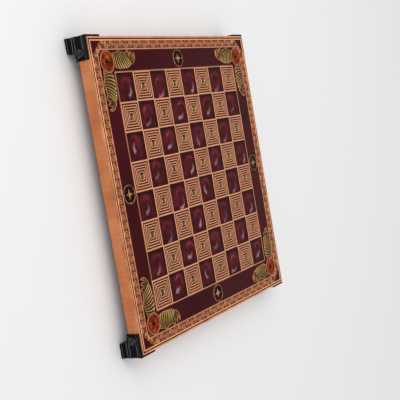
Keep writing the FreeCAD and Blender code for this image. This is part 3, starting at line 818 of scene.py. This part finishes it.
def pearl_enamel():
    """Square by square: near-black at the walls as painted shade, a red arc over the top and a pale
    stroke below.
    """
    enamel = Finish("square_pearl")
    cells, shares = square_shares(enamel)
    x, y = [share * 2.0 - 1.0 for share in shares]
    seed = from_axes(enamel.tree, *cells)
    chance = add_node(enamel.tree, "ShaderNodeTexWhiteNoise", {"Vector": seed}, 1, noise_dimensions="3D")
    first, second, third = chance.axes()
    drift = from_axes(enamel.tree, x * 1.2 + first * 40.0, y * 1.2 + second * 40.0)
    swirl = enamel.noise(1.0, 3.0, 0.5, drift, distortion=0.6)
    waver = swirl * 0.50 + (second * 0.22 - 0.36)
    smudge = enamel.noise(230.0, 2.0, 0.6).spread(0.30, 0.65, 0.45, 1.0)
    mirror = (third - 0.15).maths("SIGN")
    right = x * mirror + (first * -0.50 + 0.22)
    back = y + (second * -0.45 + 0.26)

    def stroke(across, up, radius, start, sweep, widths, fades):
        """An arc round a centre, from a start angle on, that widens and fades out at both ends."""
        u = right - across
        v = back - up
        reach = (u * u + v * v).maths("SQRT") + waver
        angle = v.maths("ARCTAN2", u) + (third * 1.3 - (0.65 + start))
        along = (angle / (2 * math.pi)).maths("FRACT") / sweep
        width = along * (widths[1] - widths[0]) + widths[0]
        body = ((reach - radius).maths("ABSOLUTE") / width).spread(0.1, 1.0, 1.0, 0.0)
        ends = along.spread(0.0, fades[0]) * along.spread(fades[1], 1.0, 1.0, 0.0)
        return body * ends * smudge

    pale = stroke(-0.20, -0.14, 0.48, -1.75, 0.38, (0.24, 0.09), (0.14, 0.30)) * (first * 0.65 + 0.35)
    red = stroke(0.0, 0.0, 0.60, -0.2, 0.56, (0.20, 0.28), (0.35, 0.60)) * (second * 0.6 + 0.3)
    rose = stroke(0.05, 0.0, 0.55, 1.9, 0.24, (0.10, 0.13), (0.4, 0.5)) * third.spread(0.45, 0.9, 0.0, 0.8)
    # Painted shade along the walls, darkest at the top and right ones.
    low_edge = x.maths("MINIMUM", y) * -0.85
    wall = x.maths("MAXIMUM", y).maths("MAXIMUM", low_edge).spread(0.45, 0.95)
    base = swirl.stops(
        (0.30, (0.036, 0.004, 0.005)), (0.50, (0.068, 0.006, 0.009)), (0.70, (0.115, 0.012, 0.019))
    )
    base = wall.mix(base, (0.021, 0.004, 0.004))
    base = red.mix(base, (0.200, 0.020, 0.030))
    base = rose.mix(base, (0.380, 0.085, 0.110))
    milk = second.mix((0.52, 0.18, 0.23), (0.50, 0.31, 0.34))
    return enamel.finished(Base_Color=pale.mix(base, milk), Roughness=0.14, Specular_IOR_Level=0.02)


def poured_square(form, x, y):
    """One fill: flat in the middle, creeping up at its edge, with straight sides below."""
    shares = [math.sin(math.pi / 2 * (2 * step / POUR_STEPS - 1)) for step in range(POUR_STEPS + 1)]
    rows = []
    for v in shares:
        row = []
        for u in shares:
            height = ENAMEL_TOP - ENAMEL_SAG + ENAMEL_CREEP * max(abs(u), abs(v)) ** 14
            row.append(form.verts.new((x + u * ENAMEL_HALF, y + v * ENAMEL_HALF, height)))
        rows.append(row)
    for lower, upper in zip(rows, rows[1:]):
        for step in range(POUR_STEPS):
            form.faces.new((lower[step], lower[step + 1], upper[step + 1], upper[step]))
    rim = rows[0] + [row[-1] for row in rows[1:-1]] + rows[-1][::-1] + [row[0] for row in rows[-2:0:-1]]
    foot = [form.verts.new((*vertex.co.xy, FLOOR)) for vertex in rim]
    skin(form, [foot, rim], foot)


square_pearl = pearl_enamel()
for rank in range(SQUARES):
    form = bmesh.new()
    for column in range(1 - rank % 2, SQUARES, 2):
        poured_square(form, SQUARE * (column + 0.5) - FIELD, SQUARE * (rank + 0.5) - FIELD)
    name = f"dark_squares_{rank + 1}"
    make_piece(name, form, square_pearl, "square_enamel", f"enamel_rank_{rank + 1}")


# Cells of the light squares: a drop of green enamel in each, left in the shape of an hourglass by
# the wedges. It is painted darker towards -X and nearly black at the upper wall, as painted shade
# from the walls, and lighter and yellowish towards +X, as painted light.
DROP_HALF = CENTRE_CELL / 2 - 0.03 * MM
DROP_LOW = 0.5 * MM


def green_enamel():
    enamel = Finish("green_enamel")
    cell = SQUARE / CENTRE_CELL
    x, y = [share * cell + (0.5 - cell / 2) for share in square_shares(enamel)[1]]
    # Painted light and shade: lighter towards +X, darker towards -X and near the upper (+Y) wall.
    tone = x * 0.8 + (enamel.noise(120.0) * 0.9 - 0.45) - y.spread(0.62, 0.95, 0.0, 0.5)
    colour = tone.stops(
        (0.05, (0.026, 0.014, 0.005)),
        (0.30, (0.052, 0.050, 0.008)),
        (0.55, (0.115, 0.110, 0.014)),
        (0.90, (0.32, 0.25, 0.08)),
    )
    return enamel.finished(Base_Color=colour, Roughness=0.2, Specular_IOR_Level=0.06)


def centre_drop():
    form = bmesh.new()
    corners = [(x * DROP_HALF, y * DROP_HALF) for x, y in ((-1, -1), (1, -1), (1, 1), (-1, 1))]
    prism(form, corners, DROP_LOW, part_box("centre_enamel")[1].z - FLOOR)
    return form


grow(
    "centre_drops", centre_drop(), chequer, "green_enamel", "centre_enamel",
    square=SQUARE, odd_squares=0, height=FLOOR, waver=0.0, finish=green_enamel(),
)


# Border and corner enamel: the same maroon, plain and without pearl, poured round the field and
# into the four scalloped corner cells.
def maroon_enamel():
    enamel = Finish("maroon_enamel")
    ripple = enamel.noise(45.0)
    colour = enamel.noise(9.0, 3.0).stops((0.35, (0.038, 0.0022, 0.0040)), (0.65, (0.058, 0.0035, 0.0065)))
    return enamel.finished(
        ripple, 0.15 * MM, Base_Color=colour, Roughness=0.10, Specular_IOR_Level=0.025
    )


dress(maroon_enamel(), "border_enamel", "corner_enamel")


# Corner discs: turned copper rings with a wire inside and a raised eight-pointed star, filled with
# red-orange enamel, and a black lozenge in the star's middle. Each is pressed into its nook.
DISC_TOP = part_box("corner_discs")[1].z
DISC_FLOOR = FLOOR + 0.6 * MM
POOL_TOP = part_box("disc_enamel")[1].z
RING_WIDTH = 3.6 * MM
RING_SHOULDER = DISC_TOP - 0.9 * MM
OUTER_BEAD = 2.1 * MM
INNER_BEAD_RISE = 0.55 * MM
WIRE_RADIUS = 10.2 * MM
WIRE_WIDTH = 0.6 * MM
WIRE_RISE = 0.15 * MM
WIRE_CREST = 0.35 * MM
STAR_WAIST = 0.36
STAR_ROOT = 0.3 * MM
STAR_PEAK = 0.9 * MM
DISC_STAR = 8.8 * MM
LOZENGE = 3.0 * MM
LOZENGE_RISE = 0.95 * MM
TURNED_STEPS = 72


def turned(form, x, y, profile):
    """A lathe form about an upright axis, through radii and heights from the axis and back to it.
    One that starts off the axis closes on itself."""
    loops = [circle(form, x, y, radius, height, TURNED_STEPS) for radius, height in profile]
    if profile[0][0] > 0:
        loops.append(loops[0])
    skin(form, loops)


def star(form, x, y, reach, points, pool, rise):
    """A star that stands out of a pool, with ridges from its tips to its peak."""
    corners = []
    for number in range(2 * points):
        radius = reach * (STAR_WAIST if number % 2 else 1)
        angle = math.pi * number / points
        corners.append((x + radius * math.cos(angle), y + radius * math.sin(angle)))
    heights = (pool - STAR_ROOT, pool + rise)
    lower, upper = [[form.verts.new((*corner, height)) for corner in corners] for height in heights]
    peak = form.verts.new((x, y, pool + STAR_PEAK))
    skin(form, [lower, upper, [peak] * len(corners)], lower)


def poured_pool(x, y, radius, low, top):
    """A round fill in each quarter, a little lower inside its wall."""
    form = bmesh.new()
    radius -= ENAMEL_GAP
    turned(form, x, y, [
        (0.0, low), (radius, low), (radius, top + 0.05 * MM), (radius - 0.6 * MM, top - ENAMEL_SAG),
        (0.0, top),
    ])
    return all_quarters(form)


def highlit_copper():
    """Copper lighter than the plate's, as painted highlight on thin rims and edges, in random brown
    clouds.
    """
    copper = Finish("ring_copper_highlit")
    clouds = copper.noise(120.0, 4.0, 0.6)
    # Stops lighter than the plate's copper: painted highlight on thin rims.
    colour = clouds.stops(
        (0.30, (0.15, 0.055, 0.026)), (0.50, (0.42, 0.160, 0.080)), (0.72, (0.70, 0.320, 0.185))
    )
    rough = clouds.spread(0.3, 0.7, 0.42, 0.26)
    grain = copper.noise(1200.0)
    return copper.finished(grain, 0.04 * MM, Base_Color=colour, Metallic=1.0, Roughness=rough)


def fire_enamel():
    """Red-orange enamel, mottled from dark red to orange."""
    enamel = Finish("fire_enamel")
    colour = enamel.noise(150.0, 3.0, 0.6, distortion=0.6).stops(
        (0.32, (0.050, 0.005, 0.002)),
        (0.46, (0.20, 0.012, 0.002)),
        (0.58, (0.46, 0.055, 0.004)),
        (0.76, (0.58, 0.14, 0.012)),
    )
    return enamel.finished(Base_Color=colour, Roughness=0.14, Specular_IOR_Level=0.03)


def black_enamel():
    enamel = Finish("black_enamel")
    colour = enamel.noise(60.0).stops((0.3, (0.006, 0.003, 0.002)), (0.7, (0.014, 0.006, 0.004)))
    return enamel.finished(Base_Color=colour, Roughness=0.12, Specular_IOR_Level=0.02)


def disc_metal():
    form = bmesh.new()
    inner = DISC_RADIUS - RING_WIDTH
    groove = DISC_RADIUS - OUTER_BEAD
    profile = [(0.0, FLOOR), (DISC_RADIUS, FLOOR)]
    profile += arch((DISC_RADIUS, RING_SHOULDER), (groove, RING_SHOULDER), DISC_TOP - RING_SHOULDER)
    profile += arch((groove, RING_SHOULDER), (inner, RING_SHOULDER), INNER_BEAD_RISE)[1:]
    turned(form, DISC, DISC, profile + [(inner, DISC_FLOOR), (0.0, DISC_FLOOR)])
    within = WIRE_RADIUS - WIRE_WIDTH
    turned(form, DISC, DISC, [
        (WIRE_RADIUS, POOL_TOP - STAR_ROOT),
        (WIRE_RADIUS, POOL_TOP + WIRE_RISE),
        ((WIRE_RADIUS + within) / 2, POOL_TOP + WIRE_CREST),
        (within, POOL_TOP + WIRE_RISE),
        (within, POOL_TOP - STAR_ROOT),
    ])
    star(form, DISC, DISC, DISC_STAR, 8, POOL_TOP, 0.1 * MM)
    return all_quarters(form)


def disc_lozenge():
    form = bmesh.new()
    corners = [(DISC + x * LOZENGE, DISC + y * LOZENGE) for x, y in ((1, 0), (0, 1), (-1, 0), (0, -1))]
    prism(form, corners, POOL_TOP, POOL_TOP + LOZENGE_RISE)
    return all_quarters(form)


disc_copper = relief_copper(
    "disc_copper", DISC_TOP - 0.8 * MM, DISC_TOP - 0.05 * MM,
    (0.09, 0.022, 0.006), (0.235, 0.060, 0.019), (0.46, 0.150, 0.060),
)
# A lighter copper for thin rims and leaf edges: painted highlight.
ring_copper_highlit = highlit_copper()
night_enamel = black_enamel()
disc_pools = poured_pool(DISC, DISC, DISC_RADIUS - RING_WIDTH, DISC_FLOOR, POOL_TOP)
make_piece("corner_disc_rings", disc_metal(), disc_copper, "copper_ring", "corner_discs")
make_piece("corner_disc_pools", disc_pools, fire_enamel(), "red_enamel", "disc_enamel")
make_piece("corner_disc_lozenges", disc_lozenge(), night_enamel, "black_enamel", "corner_discs")


# Side medallions: thin copper rings filled with black enamel round a raised four-pointed star,
# one in the middle of each side's border, with four small nubs between the star and the ring.
MEDALLION = LINE + (CHANNEL - LINE) / 2
MEDALLION_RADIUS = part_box("side_medallions")[1].x - MEDALLION
MEDALLION_INNER = MEDALLION_RADIUS - 0.95 * MM
MEDALLION_RISE = 0.6 * MM
MEDALLION_FLOOR = FLOOR + 0.4 * MM
MEDALLION_STAR = 7.6 * MM
NIGHT_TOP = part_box("medallion_enamel")[1].z
NUB_PLACE = MEDALLION_INNER - 1.2 * MM
NUB_RADIUS = 0.9 * MM
NUB_HEIGHT = 0.7 * MM


def medallion_metal():
    form = bmesh.new()
    profile = [(0.0, FLOOR), (MEDALLION_RADIUS, FLOOR)]
    profile += arch((MEDALLION_RADIUS, GROUND), (MEDALLION_INNER, GROUND), MEDALLION_RISE, 8)
    profile += [(MEDALLION_INNER, MEDALLION_FLOOR), (0.0, MEDALLION_FLOOR)]
    turned(form, MEDALLION, 0.0, profile)
    star(form, MEDALLION, 0.0, MEDALLION_STAR, 4, NIGHT_TOP, 0.2 * MM)
    for x, y in ((NUB_PLACE, 0.0), (0.0, NUB_PLACE), (-NUB_PLACE, 0.0), (0.0, -NUB_PLACE)):
        dome(form, MEDALLION + x, y, NUB_RADIUS, NIGHT_TOP, NUB_HEIGHT)
    return all_quarters(form)


medallion_pools = poured_pool(MEDALLION, 0.0, MEDALLION_INNER, MEDALLION_FLOOR, NIGHT_TOP)
make_piece("medallion_rings", medallion_metal(), ring_copper_highlit, "copper_ring", "side_medallions")
make_piece("medallion_pools", medallion_pools, night_enamel, "black_enamel", "medallion_enamel")


# Corner leaves: cast copper, like half an acanthus leaf, two at each corner. A raised edge and a
# fan of ribs under a yellow-green coat hold dark enamel between them. They stand on the border's
# enamel, each with its stem at the disc and a hook and two fingers at its tip.
LEAF_LENGTH = 52.0 * MM
LEAF_HALF = (CHANNEL - LINE) / 2 - 0.6 * MM
LEAF_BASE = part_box("leaves_left_hand")[0].z
LEAF_BODY = FACE + 0.2 * MM
LEAF_SKIN = 0.2 * MM
LEAF_EDGE = 0.65 * MM
LEAF_OUTLINE = (
    ((-0.09, -0.46), 0.0),
    ((0.02, -0.52), -1.5), ((0.15, -0.72), -1.5), ((0.33, -0.73), -1.5), ((0.45, -0.68), -1.5),
    ((0.61, -0.67), -1.5), ((0.74, -0.37), -1.5), ((0.87, -0.28), -3.5), ((0.95, 0.82), 0.9),
    ((0.83, -0.02), -1.6), ((0.82, 0.90), 0.4), ((0.70, 0.34), -1.6), ((0.67, 0.99), 0.4),
    ((0.51, 0.70), -0.4), ((0.385, 0.81), -0.4), ((0.255, 0.96), -0.4), ((0.155, 0.79), -0.4),
    ((-0.09, 0.62), 0.0),
)
FAN_RIBS = 9
FAN_RADIUS = 0.9 * MM
TIP_RIBS = (
    ((0.66, 0.10), (0.93, -0.45), (0.95, 0.70)),
    ((0.76, -0.26), (0.94, -0.40), (0.962, 0.5)),
    ((0.60, -0.10), (0.78, 0.05), (0.81, 0.82)),
    ((0.45, 0.25), (0.62, 0.40), (0.662, 0.92)),
)
TIP_RADIUS = 0.55 * MM
RIB_STEPS = 30
DISC_CENTRE = Vector((DISC, DISC))
DISC_CLEAR = DISC_RADIUS + 0.3 * MM
DIAGONAL = Matrix(((0, 1, 0), (1, 0, 0), (0, 0, 1))).to_4x4()


def leaf_point(along, across):
    """A point by its shares of the leaf's length and half width, beside the back rim."""
    return Vector((DISC - DISC_RADIUS - LEAF_LENGTH * along, MEDALLION + LEAF_HALF * across))


def leaf_outline():
    """The outline's points, with the bows between them, and the stem's end at the disc's edge."""
    points = []
    for (start, bow), (end, _) in zip(LEAF_OUTLINE, LEAF_OUTLINE[1:] + LEAF_OUTLINE[:1]):
        for point in bowed(leaf_point(*start), leaf_point(*end), bow * MM, 7):
            away = point - DISC_CENTRE
            if away.length < DISC_CLEAR:
                point = DISC_CENTRE + away.normalized() * DISC_CLEAR
            points.append(point)
    return points


def inside(point, outline):
    """Whether a plane point lies within an outline."""
    within = False
    for start, end in zip(outline, outline[1:] + outline[:1]):
        if (start.y > point.y) != (end.y > point.y):
            crossing = start.x + (point.y - start.y) * (end.x - start.x) / (end.y - start.y)
            if point.x < crossing:
                within = not within
    return within


def leaf_ribs(outline):
    """Paths and radii: from the leaf's back the ribs arch over and flow out to its lobes."""
    runs = []
    for number in range(FAN_RIBS):
        share = number / (FAN_RIBS - 1)
        places = ((0.05 + 0.47 * share, 0.9), (-0.10 + 0.74 * share, -0.10), (0.90 * share, -0.85))
        runs.append((places, FAN_RADIUS))
    ribs = []
    for places, radius in runs + [(places, TIP_RADIUS) for places in TIP_RIBS]:
        start, middle, end = [leaf_point(*place) for place in places]
        path = []
        for step in range(RIB_STEPS + 1):
            t = step / RIB_STEPS
            point = start * (1 - t) ** 2 + middle * 2 * t * (1 - t) + end * t ** 2
            if inside(point, outline) and (point - DISC_CENTRE).length > DISC_CLEAR:
                path.append(point)
            elif len(path) > 3:
                break
            else:
                path = []
        if len(path) > 3:
            ribs.append((path, radius))
    return ribs


def leaf_edges(form, outline):
    prism(form, outline, LEAF_BASE, LEAF_BODY - LEAF_SKIN)
    half_round(form, outline + outline[:1], LEAF_EDGE, LEAF_BODY, flat=1.2)


def leaf_veins(form, outline):
    for path, radius in leaf_ribs(outline):
        last = len(path) - 1
        radii = [radius * (0.55 + 0.45 * number / last) for number in range(last + 1)]
        half_round(form, path, radii, LEAF_BODY, flat=0.8)


def leaf_fill(form, outline):
    prism(form, outline, LEAF_BODY - LEAF_SKIN, LEAF_BODY + 0.05 * MM)


def leaf_enamel():
    """Dark olive, as it lies deep between the ribs."""
    enamel = Finish("leaf_enamel")
    patches = enamel.noise(95.0, 3.0, 0.55)
    colour = patches.stops((0.35, (0.030, 0.013, 0.003)), (0.65, (0.065, 0.034, 0.005)))
    return enamel.finished(Base_Color=colour, Roughness=0.22, Specular_IOR_Level=0.05)


def gilt_ribs_lit_shaded():
    """Ribs under a thin yellow-green coat: pale on top as painted highlight, dark at the foot as painted
    shade.
    """
    gilt = Finish("gilt_ribs_lit_shaded")
    # Painted highlight on the ribs' tops and painted shade at their feet, by height.
    height = gilt.place.axes()[2].spread(LEAF_BODY, LEAF_BODY + 0.6 * MM)
    tone = height * 0.75 + (gilt.noise(110.0, 3.0, 0.55) * 0.9 - 0.32)
    colour = tone.stops(
        (0.20, (0.090, 0.042, 0.006)), (0.50, (0.36, 0.205, 0.032)), (0.90, (0.74, 0.49, 0.175))
    )
    return gilt.finished(Base_Color=colour, Metallic=0.5, Roughness=0.34, Specular_IOR_Level=0.1)


leaf_parts = (
    ("leaf_edges", leaf_edges, ring_copper_highlit),
    ("leaf_veins", leaf_veins, gilt_ribs_lit_shaded()),
    ("leaf_fill", leaf_fill, leaf_enamel()),
)
for hand in ("left", "right"):
    for part, add_part, material in leaf_parts:
        form = bmesh.new()
        add_part(form, leaf_outline())
        if hand == "right":
            bmesh.ops.transform(form, matrix=DIAGONAL, verts=form.verts)
        all_quarters(form)
        make_piece(f"{part}_{hand}", form, material, "leaf_enamel", f"leaves_{hand}_hand")


# Feet: cast metal in gloss black paint, one round each corner, with mouldings, a volute on both
# outer sides and a pedestal below. The crests of the mouldings are painted grey as painted highlight.
WALL_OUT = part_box("foot_right_back")[1].x - 0.9 * MM
FOOT_END = WALL_OUT - 33.0 * MM
PEDESTAL = WALL_OUT - 21.6 * MM
VOLUTE = (FOOT_END + 10.5 * MM, 22.4 * MM)
VOLUTE_RADIUS = 6.0 * MM
FOOT_LINES = (
    (3.9, PEDESTAL, 0.60), (7.6, PEDESTAL, 0.35), (11.9, PEDESTAL, 0.60), (16.3, VOLUTE[0], 0.60),
    (28.5, VOLUTE[0], 0.60), (31.2, FOOT_END, 0.45), (33.6, FOOT_END, 0.60),
)


def black_paint(name, low, high, shine):
    paint = Finish(name)
    dust = paint.noise(90.0, 4.0, 0.6)
    colour = dust.stops((0.35, low), (0.75, high))
    rough = dust.spread(0.3, 0.7, 0.20, 0.32)
    return paint.finished(
        paint.noise(420.0), 0.10 * MM, Base_Color=colour, Roughness=rough, Specular_IOR_Level=shine
    )


def foot_crests():
    """Raised lines on the outer sides of one foot, copied to the others."""
    form = bmesh.new()
    for height, start, radius in FOOT_LINES:
        line = [(start, height * MM), (WALL_OUT + 0.2 * MM, height * MM)]
        half_round(form, line, radius * MM, SINK, flat=0.9)
    points, radii = curl(VOLUTE, VOLUTE_RADIUS, math.pi / 2, 2.0, 1, steps=56)
    half_round(form, points, radii, SINK, flat=1.3)
    dome(form, *VOLUTE, 1.0 * MM, SINK, 1.1 * MM)
    tail = [(FOOT_END + (1.2 + 0.5 * step) * MM, (15.2 + 0.09 * step * step) * MM) for step in range(8)]
    half_round(form, tail, 0.5 * MM, SINK)
    for vertex in form.verts:
        along, height, out = vertex.co
        vertex.co = (WALL_OUT + out, along, height)
    copy_form(form, DIAGONAL)
    return all_quarters(form)


dress(
    black_paint("black_paint", (0.0030, 0.0028, 0.0038), (0.008, 0.0075, 0.010), 0.04),
    *[f"foot_{corner}" for corner in CORNERS],
)
# Lighter grey paint on the crests: painted highlight.
crest_highlight_paint = black_paint("crest_highlight_paint", (0.050, 0.049, 0.055), (0.125, 0.122, 0.132), 0.3)
make_piece("foot_crests", foot_crests(), crest_highlight_paint, "black_foot")


# Foot screws: plain steel wood screws with flat heads, turned and rolled. One goes up through each
# foot's shelf into the core.
def screw_steel():
    steel = Finish("screw_steel")
    colour = steel.noise(1800.0).stops((0.3, (0.32, 0.32, 0.33)), (0.7, (0.52, 0.52, 0.53)))
    return steel.finished(Base_Color=colour, Metallic=1.0, Roughness=0.36)


dress(screw_steel(), "foot_screws")
